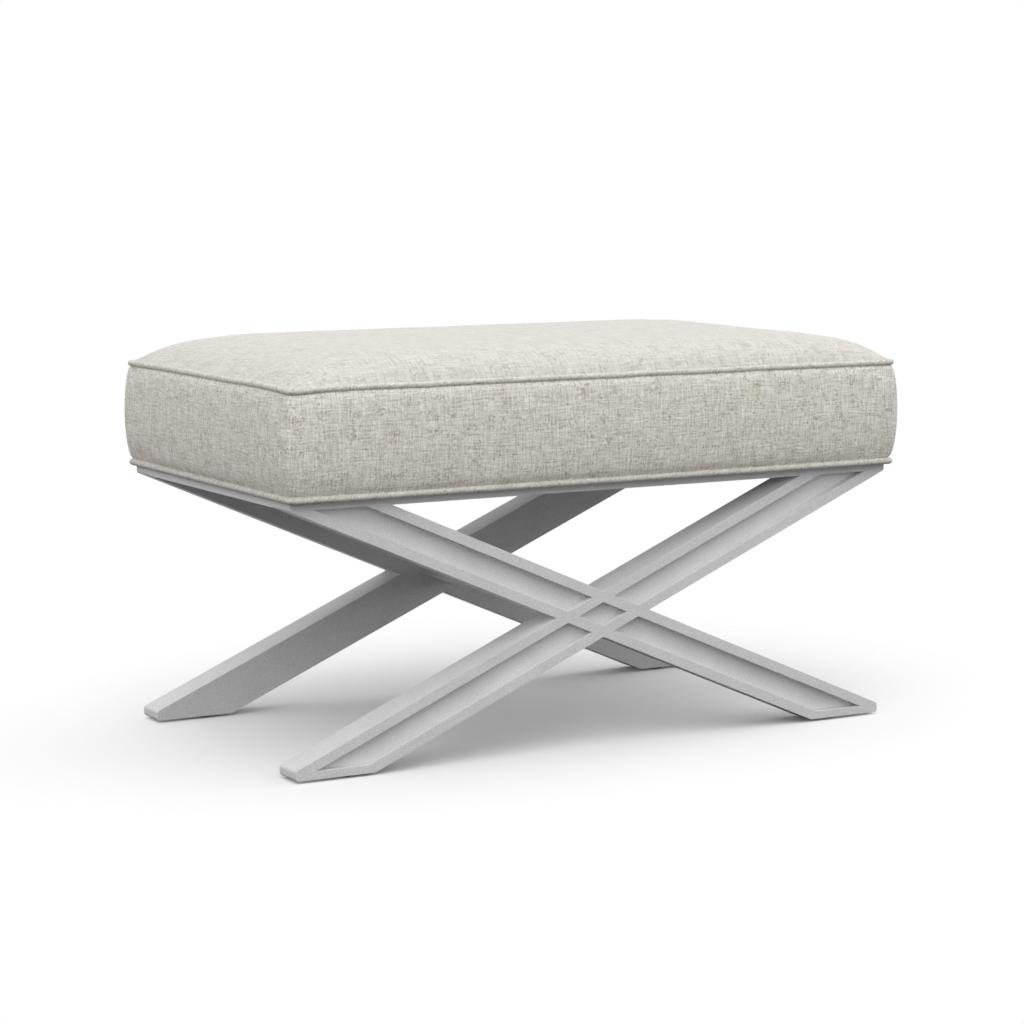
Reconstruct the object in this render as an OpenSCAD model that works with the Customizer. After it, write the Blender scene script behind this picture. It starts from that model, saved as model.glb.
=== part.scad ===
// Cross-legged ottoman: a painted hardwood frame of two routed crosses, tied by rails
// and a stretcher, under an upholstered box cushion with a crowned top and two welts.
// Millimetres. X runs along the long side, the front faces -Y, and Z is up.
// The origin is on the floor, under the middle of the frame.

/* [Frame] */
// Width of the frame over the tops of the legs
frame_w = 832; // [780:1:880]
// Depth of the frame over the outer faces of the two crosses
frame_d = 443; // [380:1:460]
// Height of the frame from the foot faces to the seat
frame_h = 321; // [290:1:360]
// Thickness of each cross from front to back
cross_t = 43; // [38:1:50]
// Width of a leg, measured square to its length
leg_w = 51.4; // [44:0.2:60]
// Height of the upright face at the tip of each foot
toe_h = 12; // [8:0.5:18]
// Radius on the corners at the tips of the legs
tip_round = 4; // [1:0.5:5]

/* [Routed panels] */
// Depth of the panels routed into the outer faces
panel_depth = 12; // [4:0.5:15]
// Width of the rim that runs along each leg beside its panels
rim_w = 12.4; // [8:0.2:16]
// Height of the level rim between a panel and the foot face
foot_rim_h = 10; // [7:0.5:16]

/* [Rails and stretcher] */
// Thickness of the four rails under the seat
rail_t = 10; // [9:0.5:16]
// Width of the two short side rails
side_rail_w = 43; // [30:1:50]
// Thickness of the diamond-shaped stretcher, face to face
stretcher_t = 30.5; // [24:0.5:40]

/* [Glides] */
// Diameter of the glides
glide_d = 28; // [20:1:34]
// Height of the glides
glide_h = 3; // [3:0.5:6]
// Distance from the tip of a foot to the middle of its glide
glide_inset = 70; // [55:1:85]

/* [Cushion] */
// How far the welts stand out past the legs at the left and right
end_overhang = 7; // [4:0.5:20]
// How far the welts stand out past the crosses at the front and rear
front_overhang = 16; // [6:0.5:24]
// Height from the middle of the lower welt to the middle of the upper one
box_h = 124; // [90:1:150]
// Height of the crown above the middle of the upper welt
crown_h = 36; // [25:1:60]
// How far the sides swell out between the welts
side_swell = 6; // [3:0.5:14]
// Radius of the cushion's upright corners
corner_r = 12; // [8:1:20]
// Diameter of the welts
welt_d = 7.2; // [5:0.2:10]
// Thickness of the seat board
board_t = 15; // [12:1:20]

/* [Hidden] */
$fn = 48;

// Overrun of every cut past the face that it opens
cut_over = 1;
// Gap left between soft pieces that lie on each other
soft_gap = 0.3;

// Cross geometry, in the upright plane and measured up from the foot faces
cross_z = frame_h / 2;
half_leg = leg_w / 2;
top_x = frame_w / 2;
shoulder_z = frame_h - rail_t;
shoulder_rise = shoulder_z - cross_z;
leg_angle = atan2(shoulder_rise, top_x) + asin(half_leg / norm([top_x, shoulder_rise]));
slope = tan(leg_angle);
leg_rise = half_leg / cos(leg_angle);
panel_rise = (half_leg - rim_w) / cos(leg_angle);
toe_x = (cross_z + leg_rise - toe_h) / slope;
tip_r = min(tip_round, toe_h / 2);
round_steps = 6;
face_y = frame_d / 2;
inner_y = face_y - cross_t;

// Dowels
dowel_d = 6;
dowel_l = 40;
dowel_pitch = 22;
dowel_chamfer = 0.8;
dowel_room = 1;
stretcher_dowel_d = 10;
stretcher_dowel_l = 34;
stretcher_dowel_pitch = 26;
joint_z = frame_h - rail_t / 2;
joint_x = (joint_z - cross_z - leg_rise) / slope;

// Glide nails
glide_edge = 1.2;
nail_d = 2.4;
nail_l = 16;
nail_head_d = 9;
nail_head_t = 1;
glide_x = toe_x - glide_inset;
glide_y = face_y - cross_t / 2;

// Cushion size over its welts
cushion_w = frame_w + 2 * end_overhang;
cushion_d = frame_d + 2 * front_overhang;

// Seat stack, from the top of the frame upwards
frame_top = glide_h + frame_h;
dust_t = 0.8;
hem_t = 1.2;
hem_w = 38;
dust_inset = 8;
hem_z = frame_top + dust_t;
board_z = hem_z + hem_t;
board_top = board_z + board_t;

// Seat screws
screw_d = 4;
screw_head_d = 8;
screw_bite = 12;
screw_l = rail_t + dust_t + hem_t + screw_bite;
screw_slot_w = 1.2;
screw_slot_share = 0.7;
screw_slot_depth = 1.2;
long_rail_screw_shares = [-0.84, -0.42, 0, 0.42, 0.84];
side_rail_screw_shares = [-0.6, 0.6];
screw_y = glide_y;
screw_x = top_x - side_rail_w / 2;

// Staples
staple_w = 10;
staple_l = 8;
staple_wire = 1.2;
staple_crown_t = 0.6;
staple_inset = 20;
staple_pitch = 76;

// Cushion profile
welt_r = welt_d / 2;
low_welt_z = frame_top + welt_r;
high_welt_z = low_welt_z + box_h;
welt_x = cushion_w / 2 - welt_r;
welt_y = cushion_d / 2 - welt_r;
cover_t = 2;
batting_t = 8;
seam_step = 1.5;
inner_inset = welt_d + soft_gap;
pad_swell = side_swell + inner_inset - seam_step - cover_t - soft_gap;
pad_rise = crown_h - cover_t - soft_gap;
foam_inset = inner_inset + batting_t + soft_gap;
swell_power = 0.65;
crown_power = 9.5;
crown_root = 0.9;
crown_stretch = 1.6;
crown_corner_r = 40;
crown_corner_run = 12;
crown_reach_share = 0.88;
round_share = 0.9;
corner_steps = 7;
side_steps = 8;
crown_steps = 9;

silver = [0.74, 0.74, 0.75];
linen = [0.84, 0.82, 0.77];

// Frame outlines, drawn in the upright plane

function on_leg(z, rise) = [(z - cross_z - rise) / slope, z];

// One leg that climbs from left to right
module leg_outline() {
    heel = on_leg(0, -leg_rise);
    toe_low = [-toe_x, 0];
    toe_high = [-toe_x, toe_h];
    shoulder_in = on_leg(frame_h, leg_rise);
    top_high = [top_x, frame_h];
    top_low = [top_x, shoulder_z];
    polygon(concat(
        [heel],
        rounded(toe_low, heel, toe_high, tip_r),
        rounded(toe_high, toe_low, shoulder_in, tip_r),
        [shoulder_in, top_high],
        rounded(top_low, top_high, heel, tip_r)));
}

// The corner p, coming from a and going on to b, as points along an arc
function rounded(p, a, b, r) =
    let (u = (a - p) / norm(a - p),
         v = (b - p) / norm(b - p),
         half = acos(u * v) / 2,
         turn = 180 - 2 * half,
         centre = p + (u + v) / norm(u + v) * r / sin(half),
         start = p + u * r / tan(half) - centre,
         end = p + v * r / tan(half) - centre)
    [for (i = [0:round_steps])
        let (a1 = turn * i / round_steps)
        centre + (start * sin(turn - a1) + end * sin(a1)) / sin(turn)];

// The strip between two lines that lie the given rise above and below the leg's axis
module strip(rise, low, high) {
    polygon([on_leg(low, rise), on_leg(low, -rise), on_leg(high, -rise), on_leg(high, rise)]);
}

module leg_strip() {
    strip(leg_rise, -cut_over, frame_h + cut_over);
}

module panel_strip() {
    strip(panel_rise, foot_rim_h, shoulder_z);
}

// The panels of the leg that runs through on the outer face, diamond included
module through_panels() {
    difference() {
        panel_strip();
        difference() {
            mirror([1, 0]) leg_strip();
            mirror([1, 0]) panel_strip();
        }
    }
}

// The panels of the leg that stops against the other one on the outer face
module butted_panels() {
    difference() {
        panel_strip();
        mirror([1, 0]) leg_strip();
    }
}

// Stands an outline up behind the front face, from depth a to depth b
module stand(a, b) {
    translate([0, b - face_y, glide_h]) rotate([90, 0, 0]) linear_extrude(height = b - a) children();
}

// Frame pieces, as they lie in the front cross

module rising_leg() {
    lap = cross_t / 2;
    difference() {
        stand(0, cross_t) leg_outline();
        stand(-cut_over, panel_depth) through_panels();
        stand(lap, cross_t + cut_over) mirror([1, 0]) leg_strip();
        frame_holes();
    }
}

module falling_leg() {
    lap = cross_t / 2;
    difference() {
        stand(0, cross_t) mirror([1, 0]) leg_outline();
        stand(-cut_over, panel_depth) mirror([1, 0]) butted_panels();
        stand(-cut_over, lap) leg_strip();
        frame_holes();
    }
}

module long_rail() {
    low = on_leg(shoulder_z, leg_rise);
    high = on_leg(frame_h, leg_rise);
    difference() {
        stand(0, cross_t) polygon([[-low.x, low.y], low, high, [-high.x, high.y]]);
        frame_holes();
    }
}

module side_rail() {
    difference() {
        translate([top_x - side_rail_w, -inner_y, glide_h + shoulder_z])
            cube([side_rail_w, 2 * inner_y, rail_t]);
        frame_holes();
    }
}

module frame_holes() {
    at_long_dowels() peg_hole(dowel_d, dowel_l);
    at_side_dowels() peg_hole(dowel_d, dowel_l);
    at_stretcher_dowels() peg_hole(stretcher_dowel_d, stretcher_dowel_l);
    at_seat_screws() screw_hole();
    at_glides() nail_hole();
}

module peg_hole(d, l) {
    cylinder(d = d, h = l + 2 * dowel_room, center = true);
}

module peg(d, l) {
    straight = l - 2 * dowel_chamfer;
    cylinder(d = d, h = straight, center = true);
    both_faces() translate([0, 0, straight / 2])
        cylinder(d1 = d, d2 = d - 2 * dowel_chamfer, h = dowel_chamfer);
}

module both_faces() {
    children();
    mirror([0, 0, 1]) children();
}

// Where the pegs, screws and glides go

module at_long_dowels() {
    for (side = [-1, 1], end = [-1, 1], row = [-1, 1])
        translate([end * joint_x, side * glide_y + row * dowel_pitch / 2, glide_h + joint_z])
            rotate([0, 90, 0]) children();
}

module at_side_dowels() {
    for (side = [-1, 1], end = [-1, 1], row = [-1, 1])
        translate([side * screw_x + row * dowel_pitch / 2, end * inner_y, glide_h + joint_z])
            rotate([90, 0, 0]) children();
}

module at_stretcher_dowels() {
    for (end = [-1, 1], row = [-1, 1])
        translate([row * stretcher_dowel_pitch / 2, end * inner_y, glide_h + cross_z])
            rotate([90, 0, 0]) children();
}

module at_seat_screws() {
    long_half = on_leg(shoulder_z, leg_rise).x;
    for (side = [-1, 1], share = long_rail_screw_shares)
        translate([share * long_half, side * screw_y, glide_h + shoulder_z]) children();
    for (side = [-1, 1], share = side_rail_screw_shares)
        translate([side * screw_x, share * inner_y, glide_h + shoulder_z]) children();
}

module at_glides() {
    for (side = [-1, 1], end = [-1, 1])
        translate([side * glide_x, end * glide_y, 0]) children();
}

module screw_hole() {
    head_h = (screw_head_d - screw_d) / 2;
    translate([0, 0, -cut_over]) cylinder(d = screw_d, h = screw_l + cut_over);
    cylinder(d1 = screw_head_d, d2 = screw_d, h = head_h);
    translate([0, 0, -cut_over]) cylinder(d = screw_head_d, h = cut_over);
}

module screw() {
    head_h = (screw_head_d - screw_d) / 2;
    slot_l = screw_head_d * screw_slot_share;
    difference() {
        union() {
            cylinder(d1 = screw_head_d, d2 = screw_d, h = head_h);
            cylinder(d = screw_d, h = screw_l - screw_d);
            translate([0, 0, screw_l - screw_d]) cylinder(d1 = screw_d, d2 = 0, h = screw_d);
        }
        for (turn = [0, 90])
            rotate([0, 0, turn]) translate([-slot_l / 2, -screw_slot_w / 2, -cut_over])
                cube([slot_l, screw_slot_w, cut_over + screw_slot_depth]);
    }
}

module nail_hole() {
    cylinder(d = nail_d, h = nail_l);
}

module nail() {
    head_z = (glide_h - nail_head_t) / 2;
    translate([0, 0, head_z]) {
        cylinder(d = nail_head_d, h = nail_head_t);
        cylinder(d = nail_d, h = nail_l - head_z - nail_d);
        translate([0, 0, nail_l - head_z - nail_d]) cylinder(d1 = nail_d, d2 = 0, h = nail_d);
    }
}

module glide(side, end) {
    r = glide_d / 2;
    difference() {
        translate([side * glide_x, end * glide_y, 0]) rotate_extrude() {
            square([r - glide_edge, glide_h]);
            translate([0, glide_edge]) square([r, glide_h - glide_edge]);
            translate([r - glide_edge, glide_edge]) circle(r = glide_edge);
        }
        at_glides() nail();
    }
}

// Seat board and what is fixed to its underside

module slab(inset, z, t) {
    w = cushion_w - 2 * inset;
    d = cushion_d - 2 * inset;
    r = max(corner_r - inset, corner_r / 2);
    translate([0, 0, z]) linear_extrude(height = t) {
        square([w - 2 * r, d], center = true);
        square([w, d - 2 * r], center = true);
        for (sx = [-1, 1], sy = [-1, 1])
            translate([sx * (w / 2 - r), sy * (d / 2 - r)]) circle(r = r);
    }
}

module staple() {
    inner = staple_w - 2 * staple_wire;
    difference() {
        translate([-staple_w / 2, -staple_wire / 2, 0]) cube([staple_w, staple_wire, staple_l]);
        translate([-inner / 2, -staple_wire / 2 - cut_over, staple_crown_t])
            cube([inner, staple_wire + 2 * cut_over, staple_l]);
    }
}

module at_staples() {
    along_x = cushion_w / 2 - inner_inset - staple_inset;
    along_y = cushion_d / 2 - inner_inset - staple_inset;
    count_x = floor((along_x - staple_inset) / staple_pitch);
    count_y = floor((along_y - staple_inset) / staple_pitch);
    for (side = [-1, 1], i = [-count_x:count_x])
        translate([i * staple_pitch, side * along_y, hem_z]) children();
    for (side = [-1, 1], i = [-count_y:count_y])
        translate([side * along_x, i * staple_pitch, hem_z]) rotate([0, 0, 90]) children();
}

// Soft forms: rounded rectangles joined ring by ring

function plan_ring(inset_x, inset_y, corner, z) =
    let (hx = cushion_w / 2 - inset_x, hy = cushion_d / 2 - inset_y, r = min(corner, hy * round_share))
    [for (quarter = [0:3]) for (k = [0:corner_steps])
        let (a = 90 * (quarter + k / corner_steps),
             sx = quarter == 0 || quarter == 3 ? 1 : -1,
             sy = quarter < 2 ? 1 : -1)
        [sx * (hx - r) + r * cos(a), sy * (hy - r) + r * sin(a), z]];

// Side rings from low to high, swelling out between the two welts
function side_rings(inset, swell, low, high) =
    [for (i = [0:side_steps])
        let (z = low + (high - low) * (1 - cos(180 * i / side_steps)) / 2,
             t = (z - low_welt_z - welt_r) / (box_h - welt_d),
             out = swell * pow(sin(180 * max(0, min(1, t))), swell_power))
        plan_ring(inset - out, inset - out, corner_r, z)];

// Crown rings from the seam to the flat middle, rising steeply and then levelling.
// They close in faster from the ends than from the front and rear.
function crown_rings(inset, low, rise, first) =
    [for (i = [first:crown_steps])
        let (reach_y = cushion_d / 2 - inset,
             reach_x = min(cushion_w / 2 - inset, reach_y * crown_stretch),
             part = crown_reach_share * pow(i / crown_steps, 2),
             ease = min(1, part * reach_y / crown_corner_run),
             up = pow(1 - pow(1 - part, crown_power), crown_root))
        plan_ring(inset + reach_x * part, inset + reach_y * part,
            corner_r + (crown_corner_r - corner_r) * ease, low + rise * up)];

function flat(lists) = [for (l = lists) each l];
function reversed(l) = [for (i = [len(l) - 1:-1:0]) l[i]];

function wall_faces(a, b, n) =
    [for (j = [0:n - 1]) let (k = (j + 1) % n) each [[a + j, b + k, a + k], [a + j, b + j, b + k]]];

// A solid through the rings, closed by the first ring below and the last above
module loft(rings) {
    n = len(rings[0]);
    last = len(rings) - 1;
    walls = [for (i = [0:last - 1]) each wall_faces(i * n, (i + 1) * n, n)];
    low_cap = [[for (j = [0:n - 1]) j]];
    high_cap = [[for (j = [n - 1:-1:0]) last * n + j]];
    polyhedron(points = flat(rings), faces = concat(low_cap, walls, high_cap));
}

// A solid through the rings, whose last ring joins the first
module loft_loop(rings) {
    n = len(rings[0]);
    m = len(rings);
    polyhedron(points = flat(rings),
        faces = [for (i = [0:m - 1]) each wall_faces(i * n, ((i + 1) % m) * n, n)]);
}

module welt(z) {
    bend = corner_r - welt_r;
    run_x = welt_x - bend;
    run_y = welt_y - bend;
    translate([0, 0, z]) {
        for (s = [-1, 1]) {
            translate([0, s * welt_y, 0]) rotate([0, 90, 0])
                cylinder(r = welt_r, h = 2 * run_x, center = true);
            translate([s * welt_x, 0, 0]) rotate([90, 0, 0])
                cylinder(r = welt_r, h = 2 * run_y, center = true);
        }
        for (corner = [0:3])
            translate([(corner == 0 || corner == 3 ? 1 : -1) * run_x, (corner < 2 ? 1 : -1) * run_y, 0])
                rotate([0, 0, 90 * corner]) rotate_extrude(angle = 90)
                    translate([bend, 0]) circle(r = welt_r);
    }
}

// Nodes

module front_leg_rising() { color(silver) rising_leg(); }
module front_leg_falling() { color(silver) falling_leg(); }
module rear_leg_rising() { color(silver) rotate([0, 0, 180]) rising_leg(); }
module rear_leg_falling() { color(silver) rotate([0, 0, 180]) falling_leg(); }
module front_rail() { color(silver) long_rail(); }
module rear_rail() { color(silver) rotate([0, 0, 180]) long_rail(); }
module right_rail() { color(silver) side_rail(); }
module left_rail() { color(silver) rotate([0, 0, 180]) side_rail(); }

module stretcher() {
    half_z = stretcher_t / 2 / cos(leg_angle);
    half_x = half_z / slope;
    color(silver) difference() {
        translate([0, inner_y, glide_h + cross_z]) rotate([90, 0, 0])
            linear_extrude(height = 2 * inner_y)
                polygon([[-half_x, 0], [0, -half_z], [half_x, 0], [0, half_z]]);
        frame_holes();
    }
}

module stretcher_dowels() {
    color("burlywood") at_stretcher_dowels() peg(stretcher_dowel_d, stretcher_dowel_l);
}

module rail_dowels() {
    color("burlywood") {
        at_long_dowels() peg(dowel_d, dowel_l);
        at_side_dowels() peg(dowel_d, dowel_l);
    }
}

module front_left_glide() { color("dimgray") glide(-1, -1); }
module front_right_glide() { color("dimgray") glide(1, -1); }
module rear_left_glide() { color("dimgray") glide(-1, 1); }
module rear_right_glide() { color("dimgray") glide(1, 1); }
module glide_nails() { color("lightgray") at_glides() nail(); }
module seat_screws() { color("goldenrod") at_seat_screws() screw(); }

module dust_cover() {
    color([0.12, 0.12, 0.12]) difference() {
        slab(inner_inset + dust_inset, frame_top, dust_t);
        at_seat_screws() screw_hole();
    }
}

module cover_hem() {
    color(linen) difference() {
        slab(inner_inset, hem_z, hem_t);
        slab(inner_inset + hem_w, hem_z - cut_over, hem_t + 2 * cut_over);
        at_seat_screws() screw_hole();
        at_staples() staple();
    }
}

module staples() { color("lightgray") at_staples() staple(); }

module seat_board() {
    color("burlywood") difference() {
        slab(inner_inset, board_z, board_t);
        at_seat_screws() screw_hole();
        at_staples() staple();
    }
}

module foam_core() {
    rise = pad_rise - batting_t - soft_gap;
    color("khaki") loft(concat(
        side_rings(foam_inset, pad_swell, board_top, high_welt_z),
        crown_rings(foam_inset, high_welt_z, rise, 1)));
}

module batting() {
    inside = inner_inset + batting_t;
    color("white") loft(concat(
        reversed(concat(
            side_rings(inside, pad_swell, board_top, high_welt_z),
            crown_rings(inside, high_welt_z, pad_rise - batting_t, 1))),
        side_rings(inner_inset, pad_swell, board_top, high_welt_z),
        crown_rings(inner_inset, high_welt_z, pad_rise, 1)));
}

module boxing_band() {
    low = low_welt_z + welt_r + soft_gap;
    high = high_welt_z - welt_r - soft_gap;
    color(linen) loft_loop(concat(
        side_rings(seam_step, side_swell, low, high),
        reversed(side_rings(seam_step + cover_t, side_swell, low, high))));
}

module top_panel() {
    low = high_welt_z + welt_r + soft_gap;
    rise = crown_h - welt_r - soft_gap;
    color(linen) loft(concat(
        reversed(crown_rings(seam_step + cover_t, low, rise - cover_t, 0)),
        crown_rings(seam_step, low, rise, 0)));
}

module bottom_welt() { color(linen) welt(low_welt_z); }
module top_welt() { color(linen) welt(high_welt_z); }

front_leg_rising();
front_leg_falling();
rear_leg_rising();
rear_leg_falling();
front_rail();
rear_rail();
left_rail();
right_rail();
stretcher();
stretcher_dowels();
rail_dowels();
front_left_glide();
front_right_glide();
rear_left_glide();
rear_right_glide();
glide_nails();
seat_screws();
dust_cover();
cover_hem();
staples();
seat_board();
foam_core();
batting();
boxing_band();
top_panel();
bottom_welt();
top_welt();
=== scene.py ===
import math

import bmesh
import bpy
import numpy as np
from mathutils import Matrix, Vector
from mathutils.bvhtree import BVHTree


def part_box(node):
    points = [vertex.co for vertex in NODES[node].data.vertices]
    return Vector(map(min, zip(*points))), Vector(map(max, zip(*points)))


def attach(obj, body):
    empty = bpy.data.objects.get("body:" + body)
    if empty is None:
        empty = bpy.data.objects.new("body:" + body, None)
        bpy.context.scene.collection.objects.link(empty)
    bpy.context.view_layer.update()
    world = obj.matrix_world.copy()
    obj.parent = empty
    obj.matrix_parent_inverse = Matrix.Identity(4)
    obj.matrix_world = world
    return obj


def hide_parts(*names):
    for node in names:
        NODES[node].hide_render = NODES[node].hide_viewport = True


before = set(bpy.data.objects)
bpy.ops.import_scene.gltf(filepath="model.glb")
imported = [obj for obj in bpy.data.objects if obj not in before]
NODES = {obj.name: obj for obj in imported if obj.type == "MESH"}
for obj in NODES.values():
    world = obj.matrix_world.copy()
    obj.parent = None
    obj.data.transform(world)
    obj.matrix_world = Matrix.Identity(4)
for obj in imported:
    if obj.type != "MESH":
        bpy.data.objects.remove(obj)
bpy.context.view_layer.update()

# Looks of the cross-legged ottoman. Metres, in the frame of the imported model:
# X along the long side, the front faces -Y, Z up, the origin on the floor.

MM = 0.001

# Camera, fitted to the straight edges of the frame in the photo
CAMERA_AT = (-1.82065, -3.16192, 0.73883)
CAMERA_TURN = (82.5555, -0.037, -29.933)
CAMERA_LENS = 102.396
CAMERA_SENSOR = 36

# Light: each lamp's strength as a share of what shows white as white, where it comes
# from, and how many degrees wide it is
SKY = 0.65
LAMPS = {
    "key": (0.31, (-0.39, -0.60, 0.69), 60),
    "right_fill": (0.31, (0.95, -0.08, 0.31), 55),
    "left_fill": (0.11, (-0.75, -0.43, 0.50), 60),
    "top_fill": (0.06, (0.0, 0.0, 1.0), 55),
}

# Floor
FLOOR_RADIUS = 5.0
FLOOR_SIDES = 96
# The floor turns into the white background between these distances from the middle
FLOOR_FADE = (0.38, 0.85)
# What the floor throws back, and the white that the camera sees
FLOOR_BOUNCE = 0.03
FLOOR_WHITE = 0.985
FLOOR_GLOW = 0.02
LAMP_DISTANCE = 3

# Frame edges: width of the rounding, and its share at inner edges and along joints
EDGE_ROUND = 0.45 * MM
INNER_SHARE = 0.5
JOINT_SHARE = 0.4
# Only edges sharper than this are rounded, and none that is this close to hardware
SHARP = math.radians(28)
HARDWARE_REACH = 1.6 * MM
TOUCHING = 0.05 * MM
NEARLY_FLAT = math.radians(0.5)
SAME_POINT = 0.01 * MM

# Cushion form, measured in the photo against the fitted camera
CROWN_RISE = 33.1 * MM
# The crown is fuller at the right end than at the left one
CROWN_POWER_LEFT = 10.5
CROWN_POWER_RIGHT = 14.5
CROWN_POWER_Y = 13.15
CROWN_ROOT = 0.928
RIM_POWER = 12
SEAM_INSET = 1.5 * MM
SEAM_LIFT = 1.3 * MM
SEAM_OVERLAP = 0.9 * MM
# How far the sides swell out past the seams, and pull in at the seams
SWELL_X = 6.2 * MM
SWELL_Y = 5.6 * MM
SWELL_POWER = 0.58
TUCK = 2.0 * MM
TUCK_RUN = 0.7 * MM
LOW_TUCK = 1.4 * MM
LOW_TUCK_RUN = 9 * MM
CORNER_R = 12 * MM
# Behind the welts the cover turns in: how far at the top seam and at the lip under the
# seat, in welt radii; the lip's share at its edge; heights over the lower welt's middle
SEAM_TURN = 1.5
LIP_TURN = 2
LIP_EDGE_SHARE = 0.62
LIP_EDGE_RISE = 1.6 * MM
LIP_RISE = 2.6 * MM
# The net of the cover
CELL = 8 * MM
EDGE_CELL = 3 * MM
EDGE_CELLS = 4
BOXING_ROWS = 20
BOARD_GAP = 0.3 * MM
# How far the filling pushes each seam past its place in the frame
SEAM_SPREAD = 0.8 * MM

# How far the welt and the cover dip at each corner: (x side, y side): depth
CORNER_DIPS = {(-1, -1): 1.5 * MM, (1, -1): 0.1 * MM, (-1, 1): 1.0 * MM, (1, 1): 0.8 * MM}
DIP_RUN = 32 * MM
# The dips die out down the boxing with this power, and over the top by this share
DIP_POWER = 3
DIP_LOSS = 0.7
# The welt also wanders a little along its length
WANDER = 0.4 * MM
WANDER_RUN = (21 * MM, 31 * MM)

# Cloth simulation of the cushion's cover
START_INSET = 2.5 * MM
SHRINK_RAMP = 1.5
FRAMES = 20
MOVE_CAP = 24 * MM
# How far the swollen cover may stand off the full form
FORM_LIMIT = 0.8 * MM
CLOTH = {
    "quality": 6,
    "mass": 0.25,
    "tension_stiffness": 22,
    "compression_stiffness": 12,
    "shear_stiffness": 8,
    "bending_stiffness": 1.2,
    "use_pressure": True,
    "uniform_pressure_force": 4.0,
}

# Linen: pitch of the threads, and for each set of them its colour, how deep its dark
# runs are, how white its bright ones, and a seed
WARP_PITCH = 0.82 * MM
WEFT_PITCH = 0.76 * MM
TWILL_REPEAT = 4.0
THREAD_APART = 5.37 * MM
WARP = ((0.776, 0.757, 0.697), 0.32, 0.50, 0.0)
WEFT = ((0.706, 0.685, 0.625), 0.66, 0.38, 40.0)
# Width and length of the streaks along the threads
STREAKS = {
    "tone": (1.9 * MM, 26 * MM),
    "own": (1.0 * MM, 5 * MM),
    "bright": (1.8 * MM, 60 * MM),
    "dark": (1.8 * MM, 20 * MM),
    "fleck": (1.7 * MM, 5.5 * MM),
    "hue": (3.0 * MM, 9 * MM),
}
SLUB_BROWN = (0.29, 0.205, 0.115, 1.0)
THREAD_WHITE = (0.96, 0.95, 0.92, 1.0)
FLECK_TAN = (0.41, 0.272, 0.115, 1.0)
FLECK_GREY = (0.31, 0.245, 0.145, 1.0)
FLECK_DEPTH = 0.95
# How strongly each piece of the cover shows its pattern, and how light it is. These differ between
# pieces of one linen as painted light and shade: the top is darker with fainter flecks, a painted
# sheen against the light it catches; the upper piping is darkened against the light on its rounded
# top; the lower piping is darker still, as painted shade under the boxing's swell.
LINENS = {
    "linen_fabric": (1.0, 1.09),
    "linen_top_painted_shade": (0.64, 0.935),
    "linen_upper_piping_painted_shade": (0.9, 0.97),
    "linen_lower_piping_painted_shade": (0.9, 0.86),
}
# Where each piece lies on the pattern, so that no two show the same stretch of it
TOP_SHIFT = 3.0
SHEET_SHIFT = 6.0
PIPING_SHIFT = 9.0
# Faces this far above the top seam lie flat on the pattern, and wear the top's linen, which is
# darker and fainter as painted shade and sheen
TOP_WEAVE_RISE = 0.2 * MM
TOP_PAINTED_SHADE_RISE = 1.0 * MM

# Sheets under the seat
HEM_WIDTH = 38 * MM
HEM_THICKNESS = 0.8 * MM
HEM_WAVE = 0.12 * MM
HEM_WAVE_RUN = (11 * MM, 13 * MM)
HEM_CELL = 9 * MM
UNDER_CLOTH_CELL = 12 * MM
UNDER_CLOTH_THICKNESS = 0.4 * MM
UNDER_CLOTH_SAG = 2.4 * MM
UNDER_CLOTH_PLAY = 4 * MM

# Other colours, light and dark: bare wood, the paint's and the plastic's greys, metals
BEECH = ((0.60, 0.44, 0.27), (0.50, 0.35, 0.20))
PLYWOOD = ((0.62, 0.47, 0.30), (0.52, 0.38, 0.23))
PAINT_GREYS = (0.64, 0.85)
PLASTIC_GREYS = (0.022, 0.04)
METAL_DARK = 0.85
NAIL_STEEL = (0.60, 0.60, 0.60)
STAPLE_STEEL = (0.62, 0.62, 0.62)
ZINC_STEEL = (0.62, 0.60, 0.54)
CLOTH_BLACKS = ((0.014, 0.014, 0.015), (0.045, 0.045, 0.047))


# Small helpers

def add_object(name, data):
    obj = bpy.data.objects.new(name, data)
    bpy.context.scene.collection.objects.link(obj)
    return obj


def mesh_object(name, verts, faces, smooth=True):
    mesh = bpy.data.meshes.new(name)
    mesh.from_pydata([tuple(v) for v in verts], [], [tuple(f) for f in faces])
    mesh.validate()
    mesh.polygons.foreach_set("use_smooth", [smooth] * len(mesh.polygons))
    return add_object(name, mesh)


def wear(obj, material):
    obj.data.materials.clear()
    obj.data.materials.append(material)


def tree_of(name):
    mesh = NODES[name].data
    return BVHTree.FromPolygons([v.co for v in mesh.vertices], [p.vertices for p in mesh.polygons])


# Node materials

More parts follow.
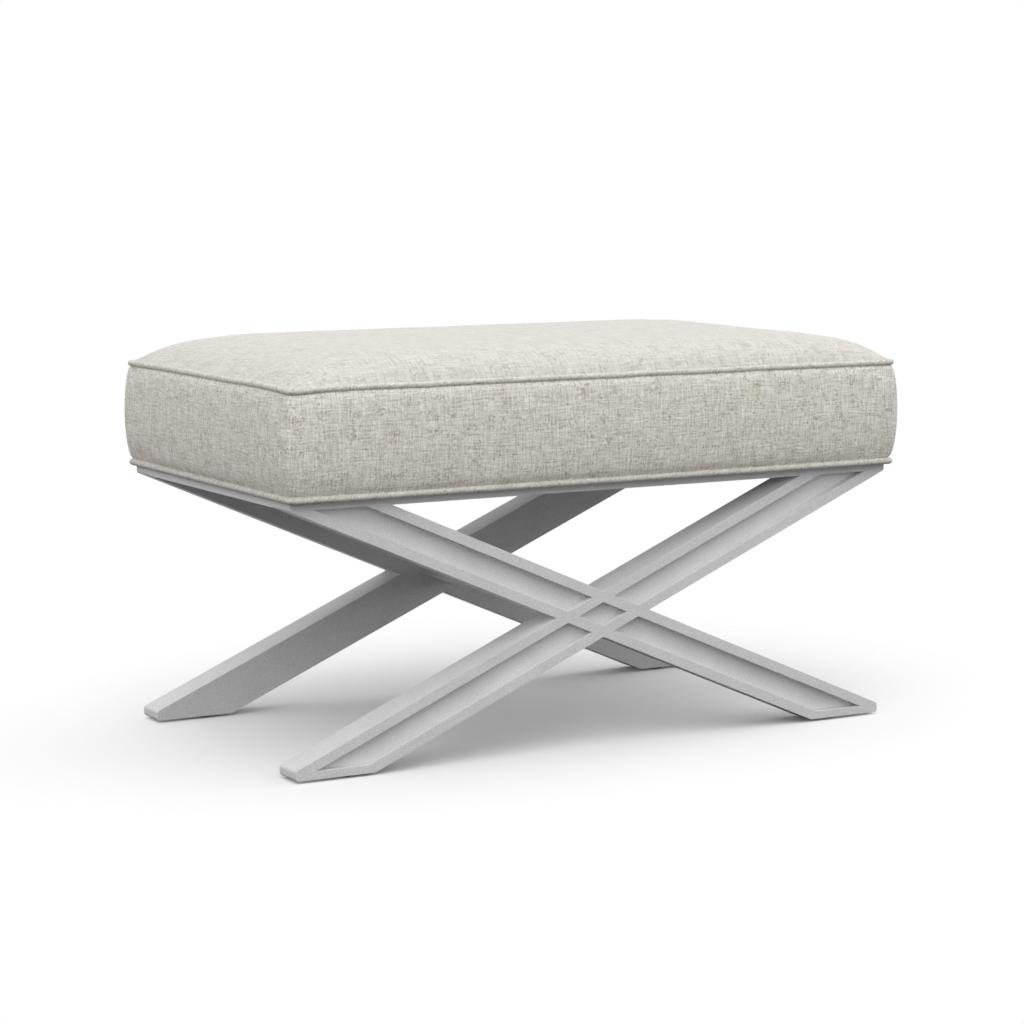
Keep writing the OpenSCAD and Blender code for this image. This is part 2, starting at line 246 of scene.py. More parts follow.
class Finish:
    """A Principled material built up from procedural nodes."""

    def __init__(self, name, **shader):
        self.material = bpy.data.materials.new(name)
        self.material.use_nodes = True
        self.tree = self.material.node_tree
        self.shader = self.tree.nodes["Principled BSDF"]
        for socket, value in shader.items():
            self.shader.inputs[socket.replace("_", " ")].default_value = value

    def add(self, kind, inputs=(), out=0, **settings):
        made = self.tree.nodes.new("ShaderNode" + kind)
        for key, value in settings.items():
            setattr(made, key, value)
        for key, value in dict(inputs).items():
            self.put(made.inputs[key], value)
        return made.outputs[out]

    def put(self, socket, value):
        if isinstance(value, bpy.types.NodeSocket):
            self.tree.links.new(value, socket)
        else:
            socket.default_value = value

    def math(self, operation, *values):
        return self.add("Math", dict(enumerate(values)), operation=operation)

    def place(self):
        """Object coordinates."""
        return self.add("TexCoord", out=3)

    def noise(self, where, scale, detail=2.0, **inputs):
        facts = {"Vector": where, "Scale": scale, "Detail": detail, **inputs}
        return self.add("TexNoise", facts)

    def stretch(self, where, scale):
        return self.add("Mapping", {"Vector": where, "Scale": scale})

    def span(self, value, low, high, to_low=0.0, to_high=1.0):
        facts = {"Value": value, "From Min": low, "From Max": high,
                 "To Min": to_low, "To Max": to_high}
        return self.add("MapRange", facts)

    def blend(self, share, a, b):
        made = self.tree.nodes.new("ShaderNodeMix")
        made.data_type = "RGBA"
        self.put(made.inputs[0], share)
        self.put(made.inputs[6], a)
        self.put(made.inputs[7], b)
        return made.outputs[2]

    def tone(self, colour, factor):
        return self.add("VectorMath", {0: colour, "Scale": factor}, operation="SCALE")

    def bump(self, height, distance, strength=1.0):
        facts = {"Height": height, "Distance": distance, "Strength": strength}
        return self.add("Bump", facts)

    def done(self, colour=None, roughness=None, normal=None):
        for socket, value in (("Base Color", colour), ("Roughness", roughness), ("Normal", normal)):
            if value is not None:
                self.put(self.shader.inputs[socket], value)
        return self.material


def rgb(r, g, b):
    return (r, g, b, 1.0)


def greys(pair):
    return [rgb(value, value, value) for value in pair]


def silver_paint():
    f = Finish("silver_paint", Metallic=0.04, IOR=1.45, Specular_IOR_Level=0.12)
    at = f.place()
    speck = f.noise(at, 640, 3.0, Roughness=0.7)
    cloud = f.noise(at, 26, 3.0)
    fine = f.noise(at, 2600, 2.0)
    share = f.span(speck, 0.32, 0.68)
    colour = f.blend(share, *greys(PAINT_GREYS))
    colour = f.tone(colour, f.span(cloud, 0.3, 0.7, 0.97, 1.03))
    height = f.math("ADD", f.math("MULTIPLY", speck, 0.6), f.math("MULTIPLY", fine, 0.4))
    return f.done(colour, f.span(speck, 0.3, 0.7, 0.42, 0.56), f.bump(height, 0.0002, 0.35))


def linen(name, contrast, shade):
    """Slub twill: threads vary in tone, with bright and dark runs and patches of flecks."""
    f = Finish(name, Roughness=0.92, Sheen_Weight=0.3, Sheen_Roughness=0.45, Specular_IOR_Level=0.2)
    uv = f.add("UVMap", uv_map="weave")
    parts = f.tree.nodes.new("ShaderNodeSeparateXYZ")
    f.put(parts.inputs[0], uv)
    u, v = parts.outputs[0], parts.outputs[1]
    column = f.math("FLOOR", f.math("DIVIDE", u, WARP_PITCH))
    row = f.math("FLOOR", f.math("DIVIDE", v, WEFT_PITCH))
    step = f.math("FRACT", f.math("DIVIDE", f.math("ADD", column, row), TWILL_REPEAT))
    over = f.math("LESS_THAN", step, 0.5)
    cluster = f.noise(uv, 56, 3.5, Roughness=0.62)
    blotch = f.noise(uv, 24, 3.0)
    haze = f.noise(uv, 300, 2.0, Roughness=0.8)

    def vary(colour, noise, depth):
        depth *= contrast
        return f.tone(colour, f.span(noise, 0.25, 0.75, 1 - depth, 1 + depth))

    def streak(kind, across, along, seed, detail=1.0):
        """Noise drawn out along the threads."""
        width, length = STREAKS[kind]
        where = {0: f.math("DIVIDE", across, width), 1: f.math("DIVIDE", along, length), 2: seed}
        return f.noise(f.add("CombineXYZ", where), 1.0, detail)

    def yarn(across, along, index, base, slub, shine, seed):
        """The look of one set of threads."""
        tone = streak("tone", across, along, seed)
        own = streak("own", f.math("MULTIPLY", index, THREAD_APART), along, seed + 7)
        bright = streak("bright", across, along, seed + 13)
        dark = streak("dark", across, along, seed + 19, 2.0)
        fleck = streak("fleck", across, along, seed + 23, 2.0)
        hue = streak("hue", across, along, seed + 31, 0.0)
        colour = vary(vary(base, tone, 0.34), own, 0.07)
        colour = f.blend(f.span(dark, 0.54, 0.68, 0.0, slub * contrast), colour, SLUB_BROWN)
        colour = f.blend(f.span(bright, 0.55, 0.66, 0.0, shine * contrast), colour, THREAD_WHITE)
        start = f.span(cluster, 0.32, 0.68, 0.65, 0.485)
        end = f.math("ADD", start, 0.12)
        amount = f.add("MapRange", {"Value": fleck, "From Min": start, "From Max": end,
                                    "To Max": FLECK_DEPTH * contrast})
        tint = f.blend(f.span(hue, 0.44, 0.60), FLECK_TAN, FLECK_GREY)
        return f.blend(amount, colour, tint)

    warp = yarn(u, v, column, *WARP)
    weft = yarn(v, u, row, *WEFT)
    colour = f.blend(f.span(over, 0, 1, 0.25, 0.75), weft, warp)
    # shade sets each piece's lightness, so it carries the painted light and shade between pieces of
    # the cover
    colour = f.tone(vary(vary(colour, haze, 0.15), blotch, 0.03), shade)

    def ridge(across, pitch):
        turn = f.math("FRACT", f.math("DIVIDE", across, pitch))
        return f.math("SINE", f.math("MULTIPLY", turn, math.pi))

    low = f.math("MULTIPLY", ridge(v, WEFT_PITCH), 0.7)
    height = f.add("Mix", {0: over, 2: low, 3: ridge(u, WARP_PITCH)})
    return f.done(colour, None, f.bump(height, 0.18 * MM, 0.25))


def grain(name, light, dark, along, roughness):
    """Bare wood whose grain runs along one axis (0, 1 or 2)."""
    f = Finish(name)
    scale = [90.0, 90.0, 90.0]
    scale[along] = 5.0
    at = f.stretch(f.place(), tuple(scale))
    rings = f.noise(at, 1.0, 4.0, Distortion=0.6)
    pores = f.noise(f.stretch(f.place(), tuple(s * 9 for s in scale)), 1.0, 2.0)
    colour = f.blend(f.span(rings, 0.3, 0.7), rgb(*light), rgb(*dark))
    colour = f.tone(colour, f.span(pores, 0.3, 0.7, 0.9, 1.05))
    return f.done(colour, f.span(pores, 0.3, 0.7, roughness, roughness + 0.12),
                  f.bump(pores, 0.0002, 0.3))


def plastic():
    f = Finish("black_plastic", IOR=1.5)
    at = f.place()
    pits = f.noise(at, 1800, 2.0)
    colour = f.blend(f.noise(at, 60, 2.0), *greys(PLASTIC_GREYS))
    return f.done(colour, f.span(pits, 0.3, 0.7, 0.45, 0.6), f.bump(pits, 0.0001, 0.4))


def metal(name, base):
    f = Finish(name, Metallic=1.0)
    at = f.place()
    marks = f.noise(f.stretch(at, (400, 400, 2400)), 1.0, 3.0)
    dark = rgb(*(METAL_DARK * c for c in base))
    colour = f.blend(f.span(marks, 0.3, 0.7), dark, rgb(*base))
    return f.done(colour, f.span(marks, 0.3, 0.7, 0.28, 0.48), f.bump(marks, 0.00005, 0.4))


def dust_cloth():
    f = Finish("dust_cloth", Roughness=0.95, Specular_IOR_Level=0.2)
    at = f.place()
    fibre = f.noise(f.stretch(at, (1300, 500, 800)), 1.0, 4.0, Distortion=1.5)
    cells = f.add("TexVoronoi", {"Vector": at, "Scale": 420.0})
    dots = f.span(cells, 0.0, 0.35)
    colour = f.blend(f.span(fibre, 0.35, 0.65), *(rgb(*black) for black in CLOTH_BLACKS))
    colour = f.tone(colour, f.span(dots, 0.0, 1.0, 0.6, 1.0))
    return f.done(colour, None, f.bump(dots, 0.0002, 0.5))


# Frame members

FRAME_PARTS = ["front_leg_rising", "front_leg_falling", "rear_leg_rising", "rear_leg_falling",
               "front_rail", "rear_rail", "left_rail", "right_rail", "stretcher"]
HARDWARE = ["stretcher_dowels", "rail_dowels", "glide_nails", "seat_screws"]
GLIDES = ["front_left_glide", "front_right_glide", "rear_left_glide", "rear_right_glide"]


def edge_share(edge, neighbours, hardware):
    """How wide this edge is rounded, as a share of the usual width."""
    if len(edge.link_faces) != 2 or edge.calc_face_angle(0) < SHARP:
        return 0.0
    middle = (edge.verts[0].co + edge.verts[1].co) / 2
    if any(near(t, middle) < HARDWARE_REACH for t in hardware):
        return 0.0
    if any(near(t, middle) < TOUCHING for t in neighbours):
        return JOINT_SHARE
    return 1.0 if edge.is_convex else INNER_SHARE


def near(tree, point):
    return tree.find_nearest(point)[3]


def painted_copy(name, material, trees):
    mesh = NODES[name].data.copy()
    obj = add_object(name + "_body", mesh)
    bm = bmesh.new()
    bm.from_mesh(mesh)
    bmesh.ops.remove_doubles(bm, verts=bm.verts, dist=SAME_POINT)
    bmesh.ops.dissolve_limit(bm, angle_limit=NEARLY_FLAT, verts=bm.verts, edges=bm.edges)
    layer = bm.edges.layers.float.new("bevel_weight_edge")
    neighbours = [trees[n] for n in FRAME_PARTS if n != name]
    hardware = [trees[n] for n in HARDWARE]
    for edge in bm.edges:
        edge[layer] = edge_share(edge, neighbours, hardware)
    for face in bm.faces:
        face.smooth = True
    bm.to_mesh(mesh)
    bm.free()
    bevel = obj.modifiers.new("edges", "BEVEL")
    bevel.limit_method = "WEIGHT"
    bevel.width = EDGE_ROUND
    bevel.segments = 3
    bevel.use_clamp_overlap = False
    normals = obj.modifiers.new("normals", "WEIGHTED_NORMAL")
    normals.weight = 100
    wear(obj, material)
    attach(obj, "root")
    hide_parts(name)
    return obj


def build_frame(silver, black):
    trees = {n: tree_of(n) for n in FRAME_PARTS + HARDWARE}
    for name in FRAME_PARTS:
        painted_copy(name, silver, trees)
    for name in GLIDES:
        painted_copy(name, black, trees)


# Cushion

WELT_LOW, WELT_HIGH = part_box("top_welt")
BASE_LOW, BASE_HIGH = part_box("bottom_welt")
BOARD_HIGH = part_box("seat_board")[1]
HALF_X, HALF_Y = WELT_HIGH.x, WELT_HIGH.y
WELT_R = (WELT_HIGH.z - WELT_LOW.z) / 2
TOP_Z = (WELT_HIGH.z + WELT_LOW.z) / 2 + SEAM_SPREAD
BASE_Z = (BASE_HIGH.z + BASE_LOW.z) / 2 - SEAM_SPREAD


def grid_lines(half):
    """Lines from -half to half, close together near both ends."""
    edge = EDGE_CELL * EDGE_CELLS
    inner = 2 * (half - edge)
    count = round(inner / CELL)
    middle = np.linspace(-half + edge, half - edge, count + 1)
    rim = np.arange(EDGE_CELLS) * EDGE_CELL
    return np.concatenate([-half + rim, middle, half - rim[::-1]])


def rounded_plan(x, y, half_x, half_y, r):
    """Moves points of a rectangle onto one with rounded corners."""
    ax = np.clip((np.abs(x) - (half_x - r)) / r, 0, 1)
    ay = np.clip((np.abs(y) - (half_y - r)) / r, 0, 1)
    corner = (ax > 0) & (ay > 0)
    rx = half_x - r + r * ax * np.sqrt(1 - ay ** 2 / 2)
    ry = half_y - r + r * ay * np.sqrt(1 - ax ** 2 / 2)
    return (np.where(corner, np.sign(x) * rx, x), np.where(corner, np.sign(y) * ry, y))


def dip_at(x, y):
    """How far the seam dips below its level at (x, y)."""
    total = WANDER * (1 + 0.5 * (np.sin((x + y) / WANDER_RUN[0]) + np.cos((x - y) / WANDER_RUN[1])))
    for (sx, sy), depth in CORNER_DIPS.items():
        far = np.hypot(x - sx * HALF_X, y - sy * HALF_Y)
        total = total + depth * np.exp(-((far / DIP_RUN) ** 2))
    return total


def crown(u, v):
    """Height of the crown over the seam; u and v run from -1 to 1."""
    power = np.where(u < 0, CROWN_POWER_LEFT, CROWN_POWER_RIGHT)
    part = (1 - np.abs(u) ** power) * (1 - np.abs(v) ** CROWN_POWER_Y)
    return CROWN_RISE * np.maximum(part, 0) ** CROWN_ROOT


class CushionForm:
    """The cushion's cover as one closed net: crown grid, boxing rows, lip and bottom grid."""

    def __init__(self):
        self.xs = grid_lines(HALF_X - SEAM_INSET)
        self.ys = grid_lines(HALF_Y - SEAM_INSET)
        self.nx, self.ny = len(self.xs), len(self.ys)
        self.loop = self.border()
        self.verts, self.weave, self.faces, self.kind = [], [], [], []

    def border(self):
        """Grid places round the edge, counterclockwise from the front left corner."""
        right, rear = self.nx - 1, self.ny - 1
        return ([(i, 0) for i in range(right)]
                + [(right, j) for j in range(rear)]
                + [(i, rear) for i in range(right, 0, -1)]
                + [(0, j) for j in range(rear, 0, -1)])

    def grid(self, half_x, half_y, height, kind):
        """A grid of points with rounded corners; returns the index of each."""
        u, v = np.meshgrid(self.xs / self.xs[-1], self.ys / self.ys[-1], indexing="ij")
        x, y = rounded_plan(u * half_x, v * half_y, half_x, half_y, CORNER_R)
        z = height(u, v, x, y)
        first = len(self.verts)
        self.verts += list(np.stack([x, y, z], -1).reshape(-1, 3))
        self.kind += [kind] * (self.nx * self.ny)
        return first + np.arange(self.nx * self.ny).reshape(self.nx, self.ny)

    def ring(self, inset_x, inset_y, z, kind):
        """One ring round the edge, inset from the welts' outermost line."""
        half_x, half_y = HALF_X - inset_x, HALF_Y - inset_y
        u = np.array([self.xs[i] / self.xs[-1] for i, _ in self.loop])
        v = np.array([self.ys[j] / self.ys[-1] for _, j in self.loop])
        x, y = rounded_plan(u * half_x, v * half_y, half_x, half_y, CORNER_R)
        share = max(0.0, (z - BASE_Z) / (TOP_Z - BASE_Z)) ** DIP_POWER
        first = len(self.verts)
        self.verts += list(np.stack([x, y, z - dip_at(x, y) * share], -1))
        self.kind += [kind] * len(self.loop)
        return first + np.arange(len(self.loop))

    def join(self, low, high):
        """Faces between two rings, low one first, facing outwards."""
        n = len(low)
        for k in range(n):
            m = (k + 1) % n
            self.faces.append((low[k], low[m], high[m], high[k]))

    def fill(self, grid, up):
        for i in range(self.nx - 1):
            for j in range(self.ny - 1):
                face = (grid[i, j], grid[i + 1, j], grid[i + 1, j + 1], grid[i, j + 1])
                self.faces.append(face if up else face[::-1])


def boxing_inset(z):
    """(inset at the ends, inset at the front and rear) of the boxing at height z."""
    low, high = BASE_Z + WELT_R, TOP_Z - WELT_R
    t = min(1, max(0, (z - low) / (high - low)))
    out = math.sin(math.pi * t) ** SWELL_POWER
    seam = min(abs(z - low), abs(high - z))
    tuck = TUCK * math.exp(-seam / TUCK_RUN) + LOW_TUCK * math.exp(-abs(z - low) / LOW_TUCK_RUN)
    return (SEAM_INSET - SWELL_X * out + tuck, SEAM_INSET - SWELL_Y * out + tuck)


PINNED, FREE, HIDDEN = 0, 1, 2


def cushion_form(shrink=0.0):
    """The net of the cushion, its free surface drawn in by shrink."""
    form = CushionForm()
    seam_z = TOP_Z + SEAM_LIFT
    bottom_z = BOARD_HIGH.z + BOARD_GAP

    def bottom(u, v, x, y):
        return np.full_like(x, bottom_z)

    def top(u, v, x, y):
        rim = 1 - np.maximum(np.abs(u) ** RIM_POWER, np.abs(v) ** RIM_POWER)
        lowered = shrink * np.minimum(1, rim * SHRINK_RAMP)
        return seam_z + crown(u, v) - lowered - dip_at(x, y) * (1 - DIP_LOSS * rim)

    lip = WELT_R * LIP_TURN
    edge_lip = lip * LIP_EDGE_SHARE
    base = form.grid(HALF_X - lip, HALF_Y - lip, bottom, HIDDEN)
    rings = [np.array([base[i, j] for i, j in form.loop])]
    low, high = BASE_Z + WELT_R - SEAM_OVERLAP, TOP_Z - WELT_R + SEAM_OVERLAP
    for z in (BASE_Z + 0.5 * (bottom_z - BASE_Z), BASE_Z + LIP_RISE):
        rings.append(form.ring(lip, lip, z, HIDDEN))
    rings.append(form.ring(edge_lip, edge_lip, BASE_Z + LIP_EDGE_RISE, PINNED))
    for k in range(BOXING_ROWS + 1):
        z = low + (high - low) * (1 - math.cos(math.pi * k / BOXING_ROWS)) / 2
        inset_x, inset_y = boxing_inset(z)
        edge = k in (0, BOXING_ROWS)
        draw = 0.0 if edge else shrink * math.sin(math.pi * k / BOXING_ROWS) ** 0.5
        rings.append(form.ring(inset_x + draw, inset_y + draw, z, PINNED if edge else FREE))
    rings.append(form.ring(WELT_R * SEAM_TURN, WELT_R * SEAM_TURN, TOP_Z, PINNED))
    crown_grid = form.grid(HALF_X - SEAM_INSET, HALF_Y - SEAM_INSET, top, FREE)
    rings.append(np.array([crown_grid[i, j] for i, j in form.loop]))
    for index in rings[-1]:
        form.kind[index] = PINNED
    for a, b in zip(rings, rings[1:]):
        form.join(a, b)
    form.fill(base, False)
    form.fill(crown_grid, True)
    return form


def swell(obj, form):
    """Swells the cover by cloth simulation, held at the seams and on the board."""
    group = obj.vertex_groups.new(name="held")
    group.add([i for i, k in enumerate(form.kind) if k != FREE], 1.0, "REPLACE")
    cloth = obj.modifiers.new("cover", "CLOTH")
    for setting, value in CLOTH.items():
        setattr(cloth.settings, setting, value)
    cloth.settings.vertex_group_mass = "held"
    cloth.settings.effector_weights.gravity = 0
    cloth.collision_settings.use_collision = False
    cloth.collision_settings.use_self_collision = False
    scene = bpy.context.scene
    for f in range(1, FRAMES + 1):
        scene.frame_set(f)
    depsgraph = bpy.context.evaluated_depsgraph_get()
    swollen = obj.evaluated_get(depsgraph).to_mesh()
    moved = np.empty(len(swollen.vertices) * 3)
    swollen.vertices.foreach_get("co", moved)
    obj.evaluated_get(depsgraph).to_mesh_clear()
    obj.modifiers.remove(cloth)
    obj.vertex_groups.remove(group)
    scene.frame_set(1)
    return moved.reshape(-1, 3)


def settle(points, start, form):
    """Keeps the swollen cover on the full form, which it may stand off by a little."""
    move = points - start
    far = np.linalg.norm(move, axis=1, keepdims=True)
    move *= np.minimum(1, MOVE_CAP / np.maximum(far, 1e-9))
    full = np.array(form.verts)
    shape = mesh_object("full_form", form.verts, form.faces)
    normals = np.array([v.normal for v in shape.data.vertices])
    bpy.data.objects.remove(shape)
    off = ((start + move - full) * normals).sum(1)
    off = np.where(np.array(form.kind) == FREE, FORM_LIMIT * np.tanh(off / FORM_LIMIT), 0.0)
    return full + normals * off[:, None]


def weave_map(mesh, place):
    """Writes the UV map named weave; place gives (u, v) in metres for each loop."""
    layer = mesh.uv_layers.new(name="weave")
    layer.data.foreach_set("uv", np.asarray(place, float).reshape(-1))


def cushion_weave(mesh):
    """Top and bottom are laid out in plan, the boxing along its length and height."""
    place = np.zeros((len(mesh.loops), 2))
    co = np.empty(len(mesh.vertices) * 3)
    mesh.vertices.foreach_get("co", co)
    co = co.reshape(-1, 3)
    for polygon in mesh.polygons:
        verts = co[list(polygon.vertices)]
        middle = verts.mean(0)
        span = slice(polygon.loop_start, polygon.loop_start + polygon.loop_total)
        is_top = middle[2] > TOP_Z + TOP_WEAVE_RISE
        is_bottom = middle[2] < BOARD_HIGH.z + 2 * BOARD_GAP and abs(polygon.normal.z) > 0.9
        if is_top or is_bottom:
            place[span] = verts[:, :2] + TOP_SHIFT
        else:
            place[span, 0] = boxing_run(verts, middle)
            place[span, 1] = verts[:, 2]
    weave_map(mesh, place)


def boxing_run(verts, middle):
    """Length along the boxing of a face's corners, all measured on the side of its middle."""
    if abs(middle[1]) / HALF_Y > abs(middle[0]) / HALF_X:
        side = math.copysign(1, middle[1])
        start = 0.0 if side < 0 else 2 * (HALF_X + HALF_Y)
        return start - side * verts[:, 0]
    side = math.copysign(1, middle[0])
    start = side * (HALF_X + HALF_Y)
    return start + side * verts[:, 1]


def build_cushion(material, top_painted_shade_material):
    form = cushion_form()
    small = cushion_form(START_INSET)
    start = np.array(small.verts)
    trial = mesh_object("cover_trial", small.verts, small.faces)
    points = settle(swell(trial, small), start, form)
    bpy.data.objects.remove(trial)
    obj = mesh_object("box_cushion", points, form.faces)
    smooth = obj.modifiers.new("finer", "SUBSURF")
    smooth.levels = smooth.render_levels = 1
    depsgraph = bpy.context.evaluated_depsgraph_get()
    fine = bpy.data.meshes.new_from_object(obj.evaluated_get(depsgraph))
    obj.modifiers.clear()
    obj.data = fine
    cushion_weave(fine)
    wear(obj, material)
    fine.materials.append(top_painted_shade_material)
    # Faces above the top seam get the top linen with its painted shade and sheen
    for polygon in fine.polygons:
        polygon.material_index = int(polygon.center.z > TOP_Z + TOP_PAINTED_SHADE_RISE)
    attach(obj, "root")
    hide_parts("foam_core", "batting", "boxing_band", "top_panel")


# Welts

WELT_STEP = 4 * MM
WELT_SIDES = 14
CORNER_STEPS = 8
# Where the piping's two ends meet, at the rear
SPLICE_X = 0.11
SPLICE_REACH = 9 * MM
SPLICE_GIRTH = 1.07
# Unevenness of the piping: its size and how many waves add up to it, in height and in
# girth, and how many turns a wave makes on its way round
RISE_RIPPLE = (0.05 * MM, 6)
GIRTH_RIPPLE = (0.006, 5)
RIPPLE_TURNS = (12, 90)
# The piping is cut across the weave at 45 degrees
BIAS = 0.7071


def ring_path(half_x, half_y, r):
    """Points and outward directions round a rectangle with rounded corners."""
    points, outward = [], []
    run_x, run_y = half_x - r, half_y - r
    corners = [(run_x, -run_y, -90), (run_x, run_y, 0), (-run_x, run_y, 90), (-run_x, -run_y, 180)]
    for k, (cx, cy, first) in enumerate(corners):
        for step in range(CORNER_STEPS + 1):
            a = math.radians(first + 90 * step / CORNER_STEPS)
            points.append((cx + r * math.cos(a), cy + r * math.sin(a)))
            outward.append((math.cos(a), math.sin(a)))
        nx, ny, turn = corners[(k + 1) % 4]
        a = math.radians(turn)
        begin = points[-1]
        end = (nx + r * math.cos(a), ny + r * math.sin(a))
        count = max(1, round(math.dist(begin, end) / WELT_STEP))
        for step in range(1, count):
            s = step / count
            points.append((begin[0] + (end[0] - begin[0]) * s, begin[1] + (end[1] - begin[1]) * s))
            outward.append((math.cos(a), math.sin(a)))
    return np.array(points), np.array(outward)


def build_welt(name, node, z, share, material, seed):
    """A round piping at height z that follows this share of the seam's dips."""
    rng = np.random.default_rng(seed)
    path, outward = ring_path(HALF_X - WELT_R, HALF_Y - WELT_R, CORNER_R - WELT_R)
    n = len(path)
    along = np.concatenate([[0], np.cumsum(np.linalg.norm(np.diff(path, axis=0), axis=1))])
    total = along[-1] + math.dist(path[-1], path[0])

    def ripple(size, waves):
        phase = rng.random(waves) * 2 * math.pi
        turns = rng.integers(*RIPPLE_TURNS, waves)
        return size * sum(np.sin(2 * math.pi * t * along / total + p) for t, p in zip(turns, phase))

    rise = ripple(*RISE_RIPPLE) - dip_at(path[:, 0], path[:, 1]) * share
    girth = WELT_R * (1 + ripple(*GIRTH_RIPPLE))
    splice = np.hypot(path[:, 0] - SPLICE_X, path[:, 1] - HALF_Y) < SPLICE_REACH
    girth = np.where(splice, girth * SPLICE_GIRTH, girth)
    angles = 2 * math.pi * np.arange(WELT_SIDES) / WELT_SIDES
    side = 2 * math.pi * WELT_R / WELT_SIDES
    verts, faces, weave = [], [], []
    for k in range(n):
        for a in angles:
            out = girth[k] * math.cos(a)
            verts.append((path[k, 0] + outward[k, 0] * out, path[k, 1] + outward[k, 1] * out,
                          z + rise[k] + girth[k] * math.sin(a)))
    for k in range(n):
        m = (k + 1) % n
        ahead = total if m == 0 else along[m]
        for s in range(WELT_SIDES):
            t = (s + 1) % WELT_SIDES
            here, there = k * WELT_SIDES, m * WELT_SIDES
            faces.append((here + s, there + s, there + t, here + t))
            low, high = s * side, (s + 1) * side
            corners = ((along[k], low), (ahead, low), (ahead, high), (along[k], high))
            for length, round_it in corners:
                weave.append(((length + round_it) * BIAS + PIPING_SHIFT,
                              (length - round_it) * BIAS + PIPING_SHIFT))
    obj = mesh_object(name, verts, faces)
    weave_map(obj.data, weave)
    wear(obj, material)
    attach(obj, "root")
    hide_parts(node)


# Sheets under the seat

def sheet_mesh(name, outline, z_at, step):
    """A flat net over a four-cornered outline, at the height that z_at gives."""
    a, b, c, d = (np.array(p, float) for p in outline)
    across = max(2, round(np.linalg.norm(b - a) / step))
    up = max(2, round(np.linalg.norm(d - a) / step))
    verts, faces, place = [], [], []
    for i in range(across + 1):
        for j in range(up + 1):
            s, t = i / across, j / up
            p = (a * (1 - s) + b * s) * (1 - t) + (d * (1 - s) + c * s) * t
            verts.append((p[0], p[1], z_at(p[0], p[1])))
    for i in range(across):
        for j in range(up):
            k = i * (up + 1) + j
            faces.append((k, k + up + 1, k + up + 2, k + 1))
    obj = mesh_object(name, verts, faces)
    for polygon in obj.data.polygons:
        for loop in polygon.loop_indices:
            place.append(obj.data.vertices[obj.data.loops[loop].vertex_index].co[:2])
    weave_map(obj.data, np.array(place) + SHEET_SHIFT)
    return obj


def thicken(obj, thickness):
    solid = obj.modifiers.new("thickness", "SOLIDIFY")
    solid.thickness = thickness
    solid.offset = 0


def build_hem(material):
    low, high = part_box("cover_hem")
    out_x, out_y = high.x, high.y
    in_x, in_y = out_x - HEM_WIDTH, out_y - HEM_WIDTH
    middle = (low.z + high.z) / 2

    def wavy(x, y):
        run_x, run_y = HEM_WAVE_RUN
        return middle + HEM_WAVE * math.sin(x / run_x) * math.sin(y / run_y)

    strips = {
        "front": [(-out_x, -out_y), (out_x, -out_y), (in_x, -in_y), (-in_x, -in_y)],
        "right": [(out_x, -out_y), (out_x, out_y), (in_x, in_y), (in_x, -in_y)],
        "rear": [(out_x, out_y), (-out_x, out_y), (-in_x, in_y), (in_x, in_y)],
        "left": [(-out_x, out_y), (-out_x, -out_y), (-in_x, -in_y), (-in_x, in_y)],
    }
    for side, outline in strips.items():
        obj = sheet_mesh("hem_" + side, outline, wavy, HEM_CELL)
        thicken(obj, HEM_THICKNESS)
        wear(obj, material)
        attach(obj, "root")
        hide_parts("cover_hem")


def build_dust_cover(material):
    low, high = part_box("dust_cover")
    rail_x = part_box("left_rail")[1].x
    rail_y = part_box("front_leg_rising")[1].y
    middle = (low.z + high.z) / 2

    def sagging(x, y):
        inside_x = max(0.0, 1 - (x / (rail_x + UNDER_CLOTH_PLAY)) ** 2)
        inside_y = max(0.0, 1 - (y / (rail_y + UNDER_CLOTH_PLAY)) ** 2)
        return middle - UNDER_CLOTH_SAG * min(1, inside_x * 1.5) * inside_y

    outline = [(-high.x, -high.y), (high.x, -high.y), (high.x, high.y), (-high.x, high.y)]
    obj = sheet_mesh("under_cloth", outline, sagging, UNDER_CLOTH_CELL)
    thicken(obj, UNDER_CLOTH_THICKNESS)
    wear(obj, material)
    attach(obj, "root")
    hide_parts("dust_cover")


# Stage

def build_floor():
    f = Finish("pale_floor")
    tree = f.tree
    at = f.place()
    far = f.add("VectorMath", {0: at}, out=1, operation="LENGTH")
    fade = f.span(far, *FLOOR_FADE)
    path = tree.nodes.new("ShaderNodeLightPath")
    seen = f.math("MAXIMUM", path.outputs["Is Camera Ray"], path.outputs["Is Glossy Ray"])
    seen = f.math("MAXIMUM", seen, path.outputs["Is Transmission Ray"])
    pale, dim = greys((FLOOR_WHITE, FLOOR_BOUNCE))
    white = f.add("BsdfDiffuse", {"Color": pale})
    glow = f.add("Emission", {"Strength": FLOOR_GLOW})
    white = f.add("AddShader", {0: white, 1: glow})
    clear = f.add("BsdfTransparent")
    grey = f.add("BsdfDiffuse", {"Color": dim})
    shown = f.add("MixShader", {0: fade, 1: white, 2: clear})
    both = f.add("MixShader", {0: seen, 1: grey, 2: shown})
    f.put(tree.nodes["Material Output"].inputs["Surface"], both)
    tree.nodes.remove(f.shader)
    turn = [2 * math.pi * k / FLOOR_SIDES for k in range(FLOOR_SIDES)]
    verts = [(FLOOR_RADIUS * math.cos(a), FLOOR_RADIUS * math.sin(a), 0) for a in turn]
    floor = mesh_object("floor", verts, [range(FLOOR_SIDES)], smooth=False)
    wear(floor, f.material)


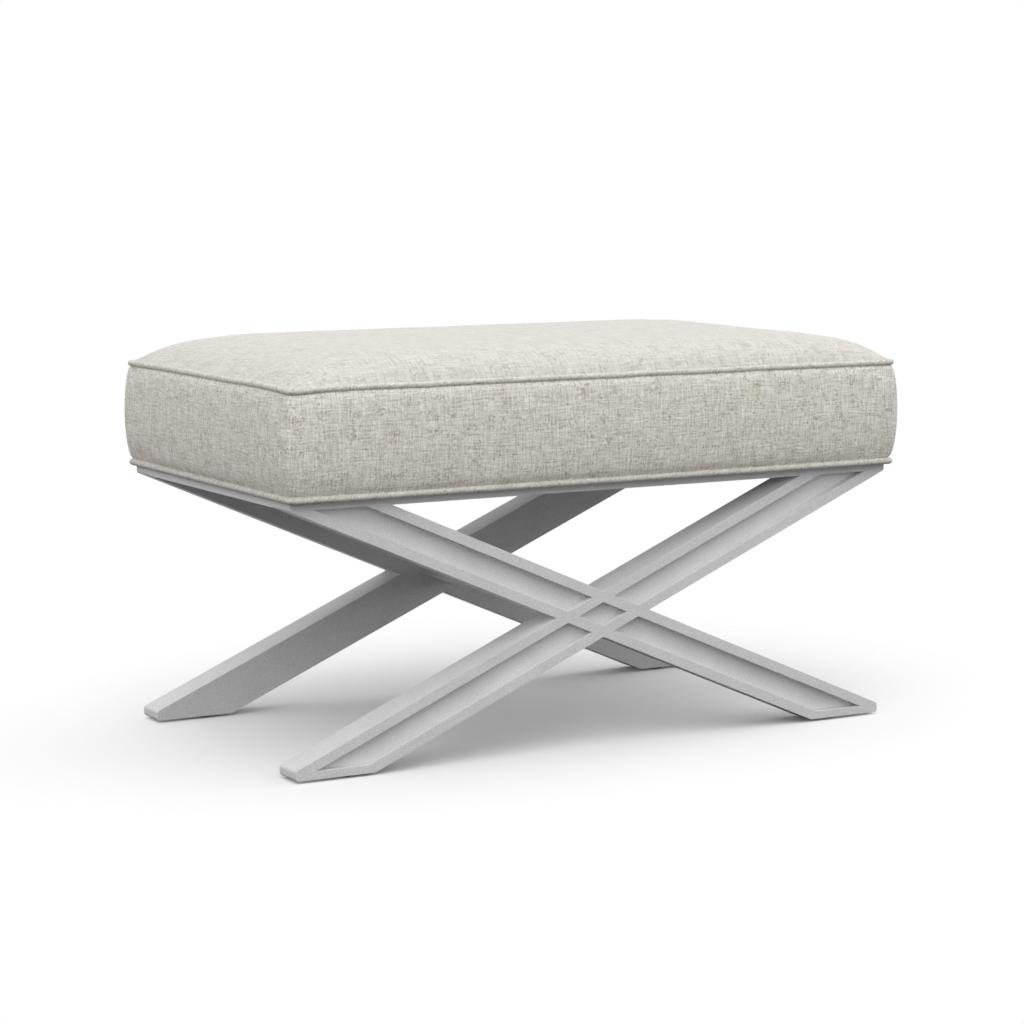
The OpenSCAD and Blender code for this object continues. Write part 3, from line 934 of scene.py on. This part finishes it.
def build_world():
    world = bpy.data.worlds.new("studio")
    world.use_nodes = True
    tree = world.node_tree
    tree.nodes.clear()
    path = tree.nodes.new("ShaderNodeLightPath")
    seen = path.outputs["Is Camera Ray"]
    for ray in ("Is Glossy Ray", "Is Transmission Ray"):
        either = tree.nodes.new("ShaderNodeMath")
        either.operation = "MAXIMUM"
        tree.links.new(seen, either.inputs[0])
        tree.links.new(path.outputs[ray], either.inputs[1])
        seen = either.outputs[0]
    strength = tree.nodes.new("ShaderNodeMapRange")
    strength.inputs["To Min"].default_value = SKY
    strength.inputs["To Max"].default_value = 1.0
    tree.links.new(seen, strength.inputs["Value"])
    shade = tree.nodes.new("ShaderNodeBackground")
    shade.inputs["Color"].default_value = rgb(1, 1, 1)
    tree.links.new(strength.outputs[0], shade.inputs["Strength"])
    output = tree.nodes.new("ShaderNodeOutputWorld")
    tree.links.new(shade.outputs[0], output.inputs["Surface"])
    bpy.context.scene.world = world


def build_sun(name, share, come_from, spread):
    """A lamp as wide as spread says, in degrees, that shines from one direction."""
    lamp = bpy.data.lights.new(name, "SUN")
    lamp.energy = share * math.pi
    lamp.angle = math.radians(spread)
    obj = add_object(name, lamp)
    obj.rotation_mode = "QUATERNION"
    obj.rotation_quaternion = (-Vector(come_from)).to_track_quat("-Z", "Y")
    obj.location = Vector(come_from).normalized() * LAMP_DISTANCE


def build_lamps():
    for name, facts in LAMPS.items():
        build_sun(name, *facts)


def build_camera():
    data = bpy.data.cameras.new("camera")
    data.sensor_width = CAMERA_SENSOR
    data.lens = CAMERA_LENS
    camera = add_object("camera", data)
    camera.location = CAMERA_AT
    camera.rotation_euler = [math.radians(a) for a in CAMERA_TURN]
    bpy.context.scene.camera = camera


def dress_hidden():
    """Procedural finishes for the CAD nodes that keep their own shape."""
    wear(NODES["stretcher_dowels"], grain("dowel_beech", *BEECH, along=1, roughness=0.5))
    wear(NODES["rail_dowels"], grain("dowel_beech_small", *BEECH, along=0, roughness=0.5))
    wear(NODES["glide_nails"], metal("nail_steel", NAIL_STEEL))
    wear(NODES["staples"], metal("staple_steel", STAPLE_STEEL))
    wear(NODES["seat_screws"], metal("zinc_steel", ZINC_STEEL))
    wear(NODES["seat_board"], grain("plywood", *PLYWOOD, along=0, roughness=0.6))


def main():
    scene = bpy.context.scene
    scene.view_settings.view_transform = "Standard"
    build_camera()
    build_world()
    build_floor()
    build_lamps()
    linens = {name: linen(name, *facts) for name, facts in LINENS.items()}
    build_frame(silver_paint(), plastic())
    build_cushion(linens["linen_fabric"], linens["linen_top_painted_shade"])
    build_welt("upper_piping", "top_welt", TOP_Z, 1.0, linens["linen_upper_piping_painted_shade"], 3)
    build_welt("lower_piping", "bottom_welt", BASE_Z, 0.0, linens["linen_lower_piping_painted_shade"], 8)
    build_hem(linens["linen_fabric"])
    build_dust_cover(dust_cloth())
    dress_hidden()
    bpy.context.view_layer.update()


main()
